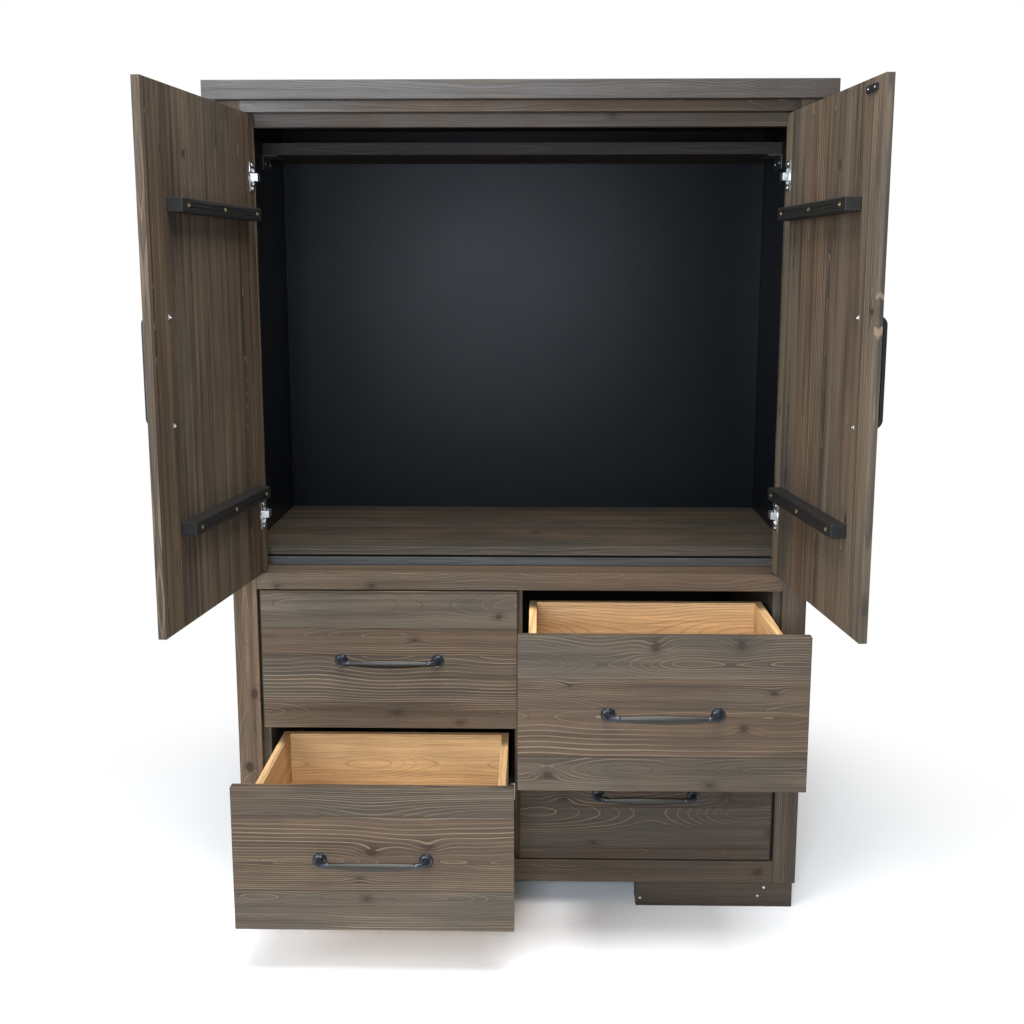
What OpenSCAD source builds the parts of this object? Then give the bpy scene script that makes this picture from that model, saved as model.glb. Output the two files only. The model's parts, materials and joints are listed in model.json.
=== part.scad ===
// Armoire: a media compartment behind two inset board doors, over four drawers.
// Origin: middle of the back edge at floor level. +Z is up, the front faces -Y.
// Left and right are as seen from in front. Lengths are in millimetres.

/* [Carcass] */
// Width over the corner posts
body_w = 1177.2; // [960:0.2:1420]
// Depth from the face of the front posts to the back
body_d = 580; // [480:1:700]
// Height from the floor to the top of the cap
body_h = 1694.5; // [1400:0.5:2040]
// Width of a corner post
post_w = 48.6; // [40:0.1:58]
// Depth of a corner post
post_d = 49; // [44:1:60]
// Thickness of the cap board
cap_t = 35.9; // [28:0.1:44]
// How far the cap stands past the posts at the front and sides
cap_over = 19.6; // [10:0.1:24]
// Thickness of the side panels
side_t = 18; // [15:1:22]
// How far the side panels sit inside the faces of the posts
side_inset = 5; // [3:1:8]
// Thickness of the back panel
back_t = 6; // [4:1:9]
// How far the back panel sits in from the back of the posts
back_inset = 12; // [8:1:16]
// Height of the feet
foot_h = 52.9; // [42:0.1:64]
// Length of a front foot
foot_l = 332; // [270:1:400]
// Thickness of the feet, front to back
foot_t = 50; // [40:1:60]
// How far a front foot stops short of the side of the carcass
foot_inset = 5.6; // [3:0.1:10]

/* [Rails and boards] */
// Height of the rail under the cap
top_rail_h = 21.5; // [18:0.1:26]
// Thickness of the rail under the cap, front to back
top_rail_t = 33; // [26:1:40]
// Height of the header board that the doors close in front of
header_h = 46.5; // [38:0.1:56]
// Thickness of the header board
header_t = 20; // [16:1:24]
// Height of the middle rail
mid_rail_h = 34.6; // [28:0.1:42]
// Depth of the middle rail, which is laid flat
mid_rail_d = 78; // [66:1:94]
// Thickness of the deck board behind the middle rail
deck_t = 17.5; // [14:0.5:21]
// Gap between the deck board and the shelf above it
shelf_gap = 4.5; // [3:0.5:8]
// Thickness of the media shelf
shelf_t = 18; // [15:1:22]
// Height of the rail under the drawers
bottom_rail_h = 50; // [40:1:60]
// Thickness of the rail under the drawers
bottom_rail_t = 22; // [18:1:26]
// Thickness of the carcass bottom
bottom_t = 15; // [12:1:18]
// Depth of the high board at the back of the media compartment
high_board_d = 236; // [190:1:284]
// Thickness of the high board
high_board_t = 26; // [21:1:31]
// Thickness of the divider between the drawers
divider_t = 16; // [13:1:19]
// Thickness of the side boards that carry the drawer slides
gable_t = 16; // [13:1:20]

/* [Drawers] */
// Height of an upper drawer front
upper_front_h = 294.8; // [245:0.1:354]
// Height of a lower drawer front
lower_front_h = 284.6; // [237:0.1:342]
// Thickness of a drawer front
front_t = 20; // [16:1:24]
// Gap above, below and between the drawer fronts
front_gap = 3; // [2:0.5:5]
// Gap between the left and right drawer fronts
centre_gap = 6; // [4:1:8]
// Gap between a drawer front and its post
post_gap = 7; // [5:1:9]
// Length of a drawer box
box_l = 390; // [325:1:420]
// How far the top of a box lies below the top of its front
box_drop = 38; // [30:1:46]
// How far the bottom of a box lies above the bottom of its front
box_rise = 46; // [38:1:56]
// Thickness of the drawer box boards
box_t = 15; // [12:1:18]
// Thickness of a drawer bottom
box_bottom_t = 6; // [4:1:8]
// Room for a slide on each side of a box
slide_room = 14; // [12:0.5:17]
// How far the upper right drawer stands open
upper_right_out = 330; // [0:1:335]
// How far the lower left drawer stands open
lower_left_out = 319; // [0:1:335]

/* [Doors] */
// Thickness of a door
door_t = 14; // [13:0.5:20]
// Gap above and below a door
door_gap = 3.5; // [3:0.1:5]
// Room between a post and the corner of a door as it swings past
swing_clear = 0.8; // [0.6:0.1:2]
// Gap between the two doors when they are shut
meeting_gap = 3; // [2:0.5:5]
// Angle that the left door stands open
left_open = 96.7; // [0:0.1:105]
// Angle that the right door stands open
right_open = 95.5; // [0:0.1:105]
// Height of a batten
batten_h = 24; // [20:1:29]
// Depth of a batten
batten_d = 28; // [23:1:34]
// Distance from the hinge edge to the near end of a batten
batten_start = 54; // [48:1:65]
// Distance from the far end of a batten to the free edge
batten_end = 85; // [70:1:102]
// Distance from the top of a door down to its upper batten
batten_top = 180; // [150:1:216]
// Distance from the bottom of a door up to its lower batten
batten_bottom = 160; // [150:1:200]

/* [Hinges] */
// Diameter of a hinge cup
cup_d = 35; // [35:1:40]
// Depth of a hinge cup
cup_depth = 11.5; // [11:0.5:13]
// Distance from the hinge edge to the middle of a cup
cup_edge = 21.5; // [20:0.5:24]
// Distance from the hinge edge to the hinge pin
pin_edge = 12; // [10:0.5:14]
// Distance from the bottom of a hinge cup to the hinge pin
pin_rise = 5; // [4.5:0.1:6]
// Diameter of the hinge pin
pin_d = 3; // [2.5:0.1:3.2]
// Running clearance around the hinge pin
pin_clear = 0.05; // [0.02:0.01:0.08]
// Distance from the end of a door to the middle of a hinge
hinge_end = 118; // [98:1:140]

/* [Pulls] */
// Distance between the feet of a drawer pull
pull_span = 200; // [166:1:240]
// Diameter of the foot discs of a drawer pull
pull_disc_d = 27; // [22:1:32]
// How far the middle of a drawer pull stands off its front
pull_reach = 34; // [30:1:40]
// Thickness of the bar of a drawer pull
pull_bar_d = 9; // [7:0.5:11]
// Distance between the bolts of a door pull
door_pull_span = 180; // [150:1:216]
// How far a door pull stands off its door
door_pull_reach = 34; // [30:1:40]
// Distance from the free edge of a door to its pull
door_pull_edge = 76; // [63:1:90]

/* [Hidden] */
// heights, from the floor up
carcass_z = foot_h;
cap_z = body_h - cap_t;
top_rail_z = cap_z - top_rail_h;
bottom_rail_top = carcass_z + bottom_rail_h;
lower_front_z = bottom_rail_top + front_gap;
upper_front_z = lower_front_z + lower_front_h + front_gap;
mid_rail_z = upper_front_z + upper_front_h + front_gap;
mid_rail_top = mid_rail_z + mid_rail_h;
deck_top = mid_rail_top + deck_t;
shelf_z = deck_top + shelf_gap;
header_z = cap_z - header_h;
high_board_gap = 1;
high_board_z = header_z - high_board_gap - high_board_t;
// widths and depths, from the middle of the back out
post_inner = body_w / 2 - post_w;
side_inner = body_w / 2 - side_inset - side_t;
gable_inner = post_inner - gable_t;
front_y = -body_d;
back_face_y = -back_inset - back_t;
post_back_y = front_y + post_d;
high_board_y = back_face_y - high_board_d;
front_clear = 2;
// where the divider and the gables start above the bottom rail, clear of the drawer fronts
inner_front_y = front_y + max(bottom_rail_t, front_t + front_clear);
// drawers
front_w = post_inner - post_gap - centre_gap / 2;
front_mid_x = centre_gap / 2 + front_w / 2;
bay_w = gable_inner - divider_t / 2;
bay_mid_x = divider_t / 2 + bay_w / 2;
box_w = bay_w - 2 * slide_room;
bottom_groove = 8;
groove_depth = box_t / 2;
slide_h = 36;
slide_web = 1.5;
slide_lip = 10.5;
slide_start = 6;
slide_reach = box_l + 40;
// height of the middle of a slide, from the bottom of its box
slide_mid = 92;
runner_h = 22;
runner_t = slide_room - slide_web - 2;
runner_start = 10;
// doors
pin_sunk = cup_depth - pin_rise;
pin_depth = door_t - pin_sunk;
swing_r = sqrt(pow(pin_edge, 2) + pow(pin_depth, 2));
// gap at the hinge edge, to the nearest 0.1
hinge_gap = round((swing_r + swing_clear - pin_edge) * 10) / 10;
door_w = post_inner - hinge_gap - meeting_gap / 2;
door_h = top_rail_z - mid_rail_top - 2 * door_gap;
door_z = mid_rail_top + door_gap;
pin_x = post_inner - hinge_gap - pin_edge;
pin_y = front_y + pin_depth;
door_face_y = -pin_depth;
door_inner_y = pin_sunk;
hinge_zs = [door_z + hinge_end, door_z + door_h - hinge_end];
batten_zs = [door_z + batten_bottom, door_z + door_h - batten_top - batten_h];
batten_l = door_w - batten_start - batten_end;
batten_hole_end = 26;
batten_holes = [batten_hole_end, batten_l / 2, batten_l - batten_hole_end];
pull_mid_z = door_z + door_h / 2 - 12;
door_pull_x = door_w - pin_edge - door_pull_edge;
// hinge arm: its crank clears the corners of the door up to the widest opening
widest_open = 105;
arm_w = 14;
hub_r = pin_d / 2 + 1.7;
arm_t = 4.4;
arm_clear = 1.3;
arm_out = pin_sunk * sin(widest_open) - pin_edge * cos(widest_open) + arm_clear + arm_t;
arm_back = swing_r + 6 + arm_t;
plate_h = 54;
plate_t = 2.5;
cup_wall = 1;
flange_h = 56;
flange_w = 26;
flange_t = 1.2;
screw_head = 8;

// colours
oak_brown = [0.31, 0.27, 0.24];
charcoal = [0.17, 0.16, 0.16];
night_blue = [0.07, 0.08, 0.11];
pine = [0.83, 0.58, 0.33];
pewter = [0.42, 0.41, 0.40];
black_steel = [0.06, 0.06, 0.07];
zinc = [0.72, 0.73, 0.74];

// a board between two opposite corners
module board(lo, hi) {
    translate(lo) cube(hi - lo);
}

// children at the left and again at the right
module both_sides() {
    children();
    mirror([1, 0, 0]) children();
}

// rod along Z
module rod(d, h) {
    cylinder(d = d, h = h, $fn = 48);
}

// ---- carcass ----

module cap() {
    color(oak_brown)
        board([-body_w / 2 - cap_over, front_y - cap_over, cap_z],
              [body_w / 2 + cap_over, 0, body_h]);
}

module top_rail() {
    color(oak_brown)
        board([-post_inner, front_y, top_rail_z], [post_inner, front_y + top_rail_t, cap_z]);
}

module header_rail() {
    color(oak_brown)
        board([-post_inner, front_y + top_rail_t, header_z],
              [post_inner, front_y + top_rail_t + header_t, cap_z]);
}

module front_post_right() {
    color(oak_brown)
        board([post_inner, front_y, carcass_z], [body_w / 2, post_back_y, cap_z]);
}

module front_post_left() {
    mirror([1, 0, 0]) front_post_right();
}

// narrow posts, flush inside with the side panels
module back_posts() {
    color(oak_brown) both_sides()
        board([side_inner, -post_d, carcass_z], [body_w / 2, 0, cap_z]);
}

module side_panel_right() {
    color(oak_brown)
        board([side_inner, post_back_y, carcass_z], [side_inner + side_t, -post_d, cap_z]);
}

module side_panel_left() {
    mirror([1, 0, 0]) side_panel_right();
}

module back_panel() {
    color(night_blue)
        board([-side_inner, back_face_y, carcass_z], [side_inner, -back_inset, cap_z]);
}

module mid_rail() {
    color(oak_brown)
        board([-post_inner, front_y, mid_rail_z],
              [post_inner, front_y + mid_rail_d, mid_rail_top]);
}

// board from side panel to side panel and back to the back panel
module full_width_board(front, z, t) {
    board([-side_inner, front, z], [side_inner, back_face_y, z + t]);
}

module deck_board() {
    color(oak_brown) full_width_board(front_y + mid_rail_d, mid_rail_top, deck_t);
}

module media_shelf() {
    color(oak_brown) full_width_board(front_y + mid_rail_d, shelf_z, shelf_t);
    color(charcoal)
        for (x = [-side_inner * 0.62, 0, side_inner * 0.62])
            board([x - 20, front_y + mid_rail_d + 40, deck_top],
                  [x + 20, back_face_y - 40, shelf_z]);
}

module high_board() {
    color(oak_brown) full_width_board(high_board_y, high_board_z, high_board_t);
}

bracket_l = 84;
bracket_h = 30;
bracket_t = 2;

// angle plates that carry the front corners of the high board
module high_board_brackets() {
    color(zinc) both_sides() difference() {
        union() {
            board([side_inner - bracket_t, high_board_y + 4, high_board_z - bracket_h],
                  [side_inner, high_board_y + 4 + bracket_l, high_board_z]);
            board([side_inner - bracket_h, high_board_y + 4, high_board_z - bracket_t],
                  [side_inner, high_board_y + 4 + bracket_l, high_board_z]);
        }
        for (y = [0.2, 0.8])
            translate([side_inner - bracket_t - 1, high_board_y + 4 + bracket_l * y,
                       high_board_z - bracket_h * 0.55])
                rotate([0, 90, 0]) rod(5, bracket_t + 2);
    }
}

module bottom_rail() {
    color(oak_brown)
        board([-post_inner, front_y, carcass_z],
              [post_inner, front_y + bottom_rail_t, bottom_rail_top]);
}

// bottom board, cut round the front posts
module carcass_bottom() {
    color(oak_brown) difference() {
        board([-side_inner, front_y + bottom_rail_t, carcass_z],
              [side_inner, back_face_y, carcass_z + bottom_t]);
        both_sides() board([post_inner, front_y, carcass_z - 1],
                           [side_inner + 1, post_back_y, carcass_z + bottom_t + 1]);
    }
}

// upright board between x and x + t: its foot meets the bottom rail, the rest clears the drawers
module upright(x, t) {
    board([x, front_y + bottom_rail_t, carcass_z + bottom_t], [x + t, back_face_y, bottom_rail_top]);
    board([x, inner_front_y, bottom_rail_top], [x + t, back_face_y, mid_rail_z]);
}

module centre_divider() {
    color(oak_brown) {
        upright(-divider_t / 2, divider_t);
        board([-divider_t / 2, front_y + mid_rail_d, mid_rail_z],
              [divider_t / 2, back_face_y, mid_rail_top]);
    }
}

module slide_gables() {
    color(oak_brown) both_sides() upright(gable_inner, gable_t);
}

module front_foot_right() {
    x = body_w / 2 - foot_inset;
    color(oak_brown) board([x - foot_l, front_y, 0], [x, front_y + foot_t, foot_h]);
}

module front_foot_left() {
    mirror([1, 0, 0]) front_foot_right();
}

module back_foot() {
    x = body_w / 2 - foot_inset;
    color(oak_brown) board([-x, -foot_t, 0], [x, 0, foot_h]);
}

// ---- drawer slides ----

// channel fixed to the carcass, open towards the box; x points at the box
module slide_channel(l) {
    color(zinc) {
        board([0, 0, -slide_h / 2], [slide_web, l, slide_h / 2]);
        for (side = [0, 1]) mirror([0, 0, side])
            board([0, 0, slide_h / 2 - slide_web], [slide_lip, l, slide_h / 2]);
    }
}

module slide_rails() {
    y = front_y + front_t + slide_start;
    for (front_z = [lower_front_z, upper_front_z]) {
        z = front_z + box_rise + slide_mid;
        both_sides() {
            translate([divider_t / 2, y, z]) slide_channel(slide_reach);
            translate([gable_inner, y, z]) mirror([1, 0, 0]) slide_channel(slide_reach);
        }
    }
}

// ---- drawers: drawn shut and on the right, then placed; z and h are a front's bottom and height ----

// side is 1 at the right and -1 at the left; out is how far the drawer stands open
module place_drawer(side, out) {
    translate([0, -out, 0]) mirror([side < 0 ? 1 : 0, 0, 0]) children();
}

module drawer_front(z, h) {
    color(oak_brown)
        board([front_mid_x - front_w / 2, front_y, z],
              [front_mid_x + front_w / 2, front_y + front_t, z + h]);
}

module drawer_sides(z, h) {
    y = front_y + front_t;
    bottom = z + box_rise;
    color(pine) for (side = [-1, 1])
        translate([bay_mid_x, 0, 0]) mirror([side < 0 ? 1 : 0, 0, 0]) difference() {
            board([box_w / 2 - box_t, y, bottom], [box_w / 2, y + box_l, z + h - box_drop]);
            board([box_w / 2 - box_t - 1, y - 1, bottom + bottom_groove],
                  [box_w / 2 - box_t + groove_depth, y + box_l + 1,
                   bottom + bottom_groove + box_bottom_t]);
        }
}

module drawer_ends(z, h) {
    y = front_y + front_t;
    groove_z = z + box_rise + bottom_groove;
    half = box_w / 2 - box_t;
    color(pine) translate([bay_mid_x, 0, 0]) {
        difference() {
            board([-half, y, z + box_rise], [half, y + box_t, z + h - box_drop]);
            board([-half - 1, y + box_t - groove_depth, groove_z],
                  [half + 1, y + box_t + 1, groove_z + box_bottom_t]);
        }
        board([-half, y + box_l - box_t, groove_z + box_bottom_t],
              [half, y + box_l, z + h - box_drop]);
    }
}

module drawer_bottom(z) {
    y = front_y + front_t;
    groove_z = z + box_rise + bottom_groove;
    half = box_w / 2 - box_t + groove_depth;
    color(pine) translate([bay_mid_x, 0, 0])
        board([-half, y + box_t - groove_depth, groove_z],
              [half, y + box_l, groove_z + box_bottom_t]);
}

module drawer_runners(z) {
    y = front_y + front_t;
    color(zinc) translate([bay_mid_x, 0, z + box_rise + slide_mid]) both_sides()
        board([box_w / 2, y + runner_start, -runner_h / 2],
              [box_w / 2 + runner_t, y + box_l - runner_start, runner_h / 2]);
}

// bowed bar on two round feet
module drawer_pull(z) {
    neck_l = pull_reach * 0.5;
    rise = pull_reach - neck_l - pull_bar_d / 2;
    bow_r = (pow(pull_span / 2, 2) + pow(rise, 2)) / (2 * rise);
    half_angle = asin(pull_span / 2 / bow_r);
    translate([front_mid_x, front_y, z]) {
        for (x = [-pull_span / 2, pull_span / 2]) translate([x, 0, 0]) rotate([90, 0, 0]) {
            color(black_steel) rod(pull_disc_d, 4);
            color(black_steel) rod(pull_bar_d + 3, neck_l);
            color(black_steel) translate([0, 0, neck_l]) sphere(d = pull_bar_d + 5, $fn = 48);
        }
        color(pewter)
            translate([0, bow_r - neck_l - rise, 0]) rotate([0, 0, -90 - half_angle])
                rotate_extrude(angle = 2 * half_angle, $fn = 360)
                    translate([bow_r, 0]) circle(d = pull_bar_d, $fn = 32);
    }
}

upper_pull_z = upper_front_z + upper_front_h / 2;
lower_pull_z = lower_front_z + lower_front_h / 2;

module upper_left_front() {
    place_drawer(-1, 0) drawer_front(upper_front_z, upper_front_h);
}
module upper_left_sides() {
    place_drawer(-1, 0) drawer_sides(upper_front_z, upper_front_h);
}
module upper_left_ends() {
    place_drawer(-1, 0) drawer_ends(upper_front_z, upper_front_h);
}
module upper_left_bottom() { place_drawer(-1, 0) drawer_bottom(upper_front_z); }
module upper_left_runners() { place_drawer(-1, 0) drawer_runners(upper_front_z); }
module upper_left_pull() { place_drawer(-1, 0) drawer_pull(upper_pull_z); }

module upper_right_front() {
    place_drawer(1, upper_right_out) drawer_front(upper_front_z, upper_front_h);
}
module upper_right_sides() {
    place_drawer(1, upper_right_out) drawer_sides(upper_front_z, upper_front_h);
}
module upper_right_ends() {
    place_drawer(1, upper_right_out) drawer_ends(upper_front_z, upper_front_h);
}
module upper_right_bottom() { place_drawer(1, upper_right_out) drawer_bottom(upper_front_z); }
module upper_right_runners() { place_drawer(1, upper_right_out) drawer_runners(upper_front_z); }
module upper_right_pull() { place_drawer(1, upper_right_out) drawer_pull(upper_pull_z); }

module lower_left_front() {
    place_drawer(-1, lower_left_out) drawer_front(lower_front_z, lower_front_h);
}
module lower_left_sides() {
    place_drawer(-1, lower_left_out) drawer_sides(lower_front_z, lower_front_h);
}
module lower_left_ends() {
    place_drawer(-1, lower_left_out) drawer_ends(lower_front_z, lower_front_h);
}
module lower_left_bottom() { place_drawer(-1, lower_left_out) drawer_bottom(lower_front_z); }
module lower_left_runners() { place_drawer(-1, lower_left_out) drawer_runners(lower_front_z); }
module lower_left_pull() { place_drawer(-1, lower_left_out) drawer_pull(lower_pull_z); }

module lower_right_front() {
    place_drawer(1, 0) drawer_front(lower_front_z, lower_front_h);
}
module lower_right_sides() {
    place_drawer(1, 0) drawer_sides(lower_front_z, lower_front_h);
}
module lower_right_ends() {
    place_drawer(1, 0) drawer_ends(lower_front_z, lower_front_h);
}
module lower_right_bottom() { place_drawer(1, 0) drawer_bottom(lower_front_z); }
module lower_right_runners() { place_drawer(1, 0) drawer_runners(lower_front_z); }
module lower_right_pull() { place_drawer(1, 0) drawer_pull(lower_pull_z); }

// ---- doors: drawn about the hinge pin, with x along the door and y into the cabinet ----

module place_left_door() {
    translate([-pin_x, pin_y, 0]) rotate([0, 0, -left_open]) children();
}

module place_right_door() {
    translate([pin_x, pin_y, 0]) mirror([1, 0, 0]) rotate([0, 0, -right_open]) children();
}

module door_panel() {
    color(oak_brown) difference() {
        board([-pin_edge, door_face_y, door_z],
              [door_w - pin_edge, door_inner_y, door_z + door_h]);
        for (z = hinge_zs)
            translate([cup_edge - pin_edge, door_inner_y + 1, z])
                rotate([90, 0, 0]) rod(cup_d, cup_depth + 1);
        for (side = [-1, 1])
            translate([door_pull_x, door_inner_y + 1, pull_mid_z + side * door_pull_span / 2])
                rotate([90, 0, 0]) rod(5, door_t + 2);
    }
}

module batten(z) {
    color(charcoal) difference() {
        board([batten_start - pin_edge, door_inner_y, z],
              [batten_start - pin_edge + batten_l, door_inner_y + batten_d, z + batten_h]);
        for (x = batten_holes)
            translate([batten_start - pin_edge + x, door_inner_y - 1, z + batten_h / 2])
                rotate([-90, 0, 0]) rod(5, batten_d + 2);
    }
}

// batten screws and the two bolts of the door pull
module door_screws() {
    color([0.62, 0.52, 0.33]) for (z = batten_zs, x = batten_holes)
        translate([batten_start - pin_edge + x, door_inner_y, z + batten_h / 2])
            rotate([-90, 0, 0]) {
                rod(4.6, batten_d);
                translate([0, 0, batten_d]) rod(screw_head, 1.2);
            }
    color(zinc) for (side = [-1, 1])
        translate([door_pull_x, 0, pull_mid_z + side * door_pull_span / 2]) {
            translate([0, door_face_y, 0]) rotate([-90, 0, 0]) rod(4.6, door_t);
            translate([0, door_inner_y, 0]) rotate([-90, 0, 0]) rod(screw_head + 1, 2);
        }
}

// steel cup let into the door, its flange and the pin across it
module hinge_cup(z) {
    depth = cup_depth - 0.2;
    translate([cup_edge - pin_edge, door_inner_y, z]) color(zinc) difference() {
        union() {
            rotate([90, 0, 0]) rod(cup_d - 0.2, depth);
            translate([-flange_w / 2, 0, -flange_h / 2]) cube([flange_w, flange_t, flange_h]);
        }
        translate([0, flange_t + 1, 0]) rotate([90, 0, 0])
            rod(cup_d - 2 * cup_wall, depth + flange_t + 1 - cup_wall);
    }
    span = 2 * sqrt(pow(cup_d / 2 - cup_wall, 2) - pow(cup_edge - pin_edge, 2));
    color(zinc) translate([0, 0, z - span / 2]) rod(pin_d, span);
}

module hinge_cups() {
    for (z = hinge_zs) hinge_cup(z);
}

// cranked arm from the hinge pin round to a plate on the post
module hinge_arm() {
    reach = pin_edge + hinge_gap;
    color(zinc) {
        difference() {
            union() {
                translate([0, 0, -arm_w / 2]) rod(2 * hub_r, arm_w);
                board([0, -arm_t / 2, -arm_w / 2], [arm_out, arm_t / 2, arm_w / 2]);
                board([arm_out - arm_t, -arm_t / 2, -arm_w / 2],
                      [arm_out, arm_back, arm_w / 2]);
                board([-reach + plate_t, arm_back - arm_t, -arm_w / 2],
                      [arm_out, arm_back, arm_w / 2]);
                board([-reach, arm_back - 10, -plate_h / 2],
                      [-reach + plate_t, post_d - pin_depth - 2, plate_h / 2]);
            }
            translate([0, 0, -arm_w]) rod(pin_d + 2 * pin_clear, 2 * arm_w);
        }
    }
}

module hinge_arms() {
    both_sides() for (z = hinge_zs) translate([-pin_x, pin_y, z]) hinge_arm();
}

// strap bent into a bow with round corners
module door_pull() {
    strap_t = 7;
    strap_w = 12;
    corner = 16;
    outer = door_pull_span + strap_t;
    color(black_steel) translate([door_pull_x, door_face_y, pull_mid_z])
        rotate([0, -90, 0]) translate([0, 0, -strap_w / 2]) linear_extrude(strap_w)
            difference() {
                bow_outline(outer, door_pull_reach, corner);
                bow_outline(outer - 2 * strap_t, door_pull_reach - strap_t, corner - strap_t);
            }
}

// outline of a bow: square at the door, round at its two far corners
module bow_outline(l, reach, r) {
    translate([-l / 2, -reach + r]) square([l, reach - r]);
    translate([-l / 2 + r, -reach]) square([l - 2 * r, r + 0.1]);
    for (x = [-l / 2 + r, l / 2 - r]) translate([x, -reach + r]) circle(r = r, $fn = 48);
}

module strike_plate() {
    color(black_steel)
        board([door_w - pin_edge - 82, door_inner_y, door_z + door_h - 22],
              [door_w - pin_edge - 32, door_inner_y + 3, door_z + door_h - 11]);
}

module left_door() { place_left_door() door_panel(); }
module left_batten_upper() { place_left_door() batten(batten_zs[1]); }
module left_batten_lower() { place_left_door() batten(batten_zs[0]); }
module left_door_screws() { place_left_door() door_screws(); }
module left_hinge_cups() { place_left_door() hinge_cups(); }
module left_door_pull() { place_left_door() door_pull(); }
module right_door() { place_right_door() door_panel(); }
module right_batten_upper() { place_right_door() batten(batten_zs[1]); }
module right_batten_lower() { place_right_door() batten(batten_zs[0]); }
module right_door_screws() { place_right_door() door_screws(); }
module right_hinge_cups() { place_right_door() hinge_cups(); }
module right_door_pull() { place_right_door() door_pull(); }
module right_strike_plate() { place_right_door() strike_plate(); }

cap();
top_rail();
header_rail();
front_post_left();
front_post_right();
back_posts();
side_panel_left();
side_panel_right();
back_panel();
mid_rail();
deck_board();
media_shelf();
high_board();
high_board_brackets();
bottom_rail();
carcass_bottom();
centre_divider();
slide_gables();
front_foot_left();
front_foot_right();
back_foot();
slide_rails();
hinge_arms();
left_door();
left_batten_upper();
left_batten_lower();
left_door_screws();
left_hinge_cups();
left_door_pull();
right_door();
right_batten_upper();
right_batten_lower();
right_door_screws();
right_hinge_cups();
right_door_pull();
right_strike_plate();
upper_left_front();
upper_left_sides();
upper_left_ends();
upper_left_bottom();
upper_left_runners();
upper_left_pull();
upper_right_front();
upper_right_sides();
upper_right_ends();
upper_right_bottom();
upper_right_runners();
upper_right_pull();
lower_left_front();
lower_left_sides();
lower_left_ends();
lower_left_bottom();
lower_left_runners();
lower_left_pull();
lower_right_front();
lower_right_sides();
lower_right_ends();
lower_right_bottom();
lower_right_runners();
lower_right_pull();
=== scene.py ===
"""Armoire: stained softwood carcass, two board doors on cup hinges and four drawers."""
import json
import math
from collections import namedtuple

import bmesh
import bpy
from mathutils import Euler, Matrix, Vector


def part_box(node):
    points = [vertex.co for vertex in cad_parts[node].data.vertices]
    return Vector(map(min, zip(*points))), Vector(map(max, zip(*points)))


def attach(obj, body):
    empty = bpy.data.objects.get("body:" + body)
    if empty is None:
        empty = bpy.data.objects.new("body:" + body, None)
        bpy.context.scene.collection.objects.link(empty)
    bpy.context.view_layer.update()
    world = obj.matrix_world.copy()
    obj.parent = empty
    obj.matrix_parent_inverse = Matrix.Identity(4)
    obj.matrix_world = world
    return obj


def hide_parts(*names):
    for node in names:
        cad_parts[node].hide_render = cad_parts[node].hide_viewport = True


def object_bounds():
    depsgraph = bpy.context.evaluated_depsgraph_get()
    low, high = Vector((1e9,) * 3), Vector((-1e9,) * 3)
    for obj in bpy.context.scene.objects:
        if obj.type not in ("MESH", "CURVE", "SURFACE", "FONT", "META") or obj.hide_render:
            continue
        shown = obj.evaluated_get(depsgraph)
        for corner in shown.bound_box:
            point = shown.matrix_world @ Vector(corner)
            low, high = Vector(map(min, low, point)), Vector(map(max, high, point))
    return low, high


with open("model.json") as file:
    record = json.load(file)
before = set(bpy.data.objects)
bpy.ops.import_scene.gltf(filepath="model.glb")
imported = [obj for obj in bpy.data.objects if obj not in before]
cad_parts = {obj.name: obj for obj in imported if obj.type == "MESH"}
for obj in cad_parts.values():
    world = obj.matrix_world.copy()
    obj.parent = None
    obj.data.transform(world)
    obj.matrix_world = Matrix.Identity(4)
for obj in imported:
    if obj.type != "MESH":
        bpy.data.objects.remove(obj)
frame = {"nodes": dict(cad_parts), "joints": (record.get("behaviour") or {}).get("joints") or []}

bl_info = {
    "name": "Armoire finish",
    "version": (1, 0, 0),
    "blender": (4, 5, 0),
    "location": "View3D > Sidebar > Armoire",
    "description": "Gives the armoire its wood, paint and metal, its fittings and a studio",
    "category": "Object",
}

NODES = frame["nodes"]
CAD_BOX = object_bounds()
DRAWERS = ("upper_left", "upper_right", "lower_left", "lower_right")
JOINTS = {joint["name"]: joint for joint in frame["joints"]}
MILLIMETRE = 0.001

# where the Mix node keeps the two colours that it mixes
MIX_FIRST_COLOUR = 6
MIX_SECOND_COLOUR = 7


# ---- shader expressions ----


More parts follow.
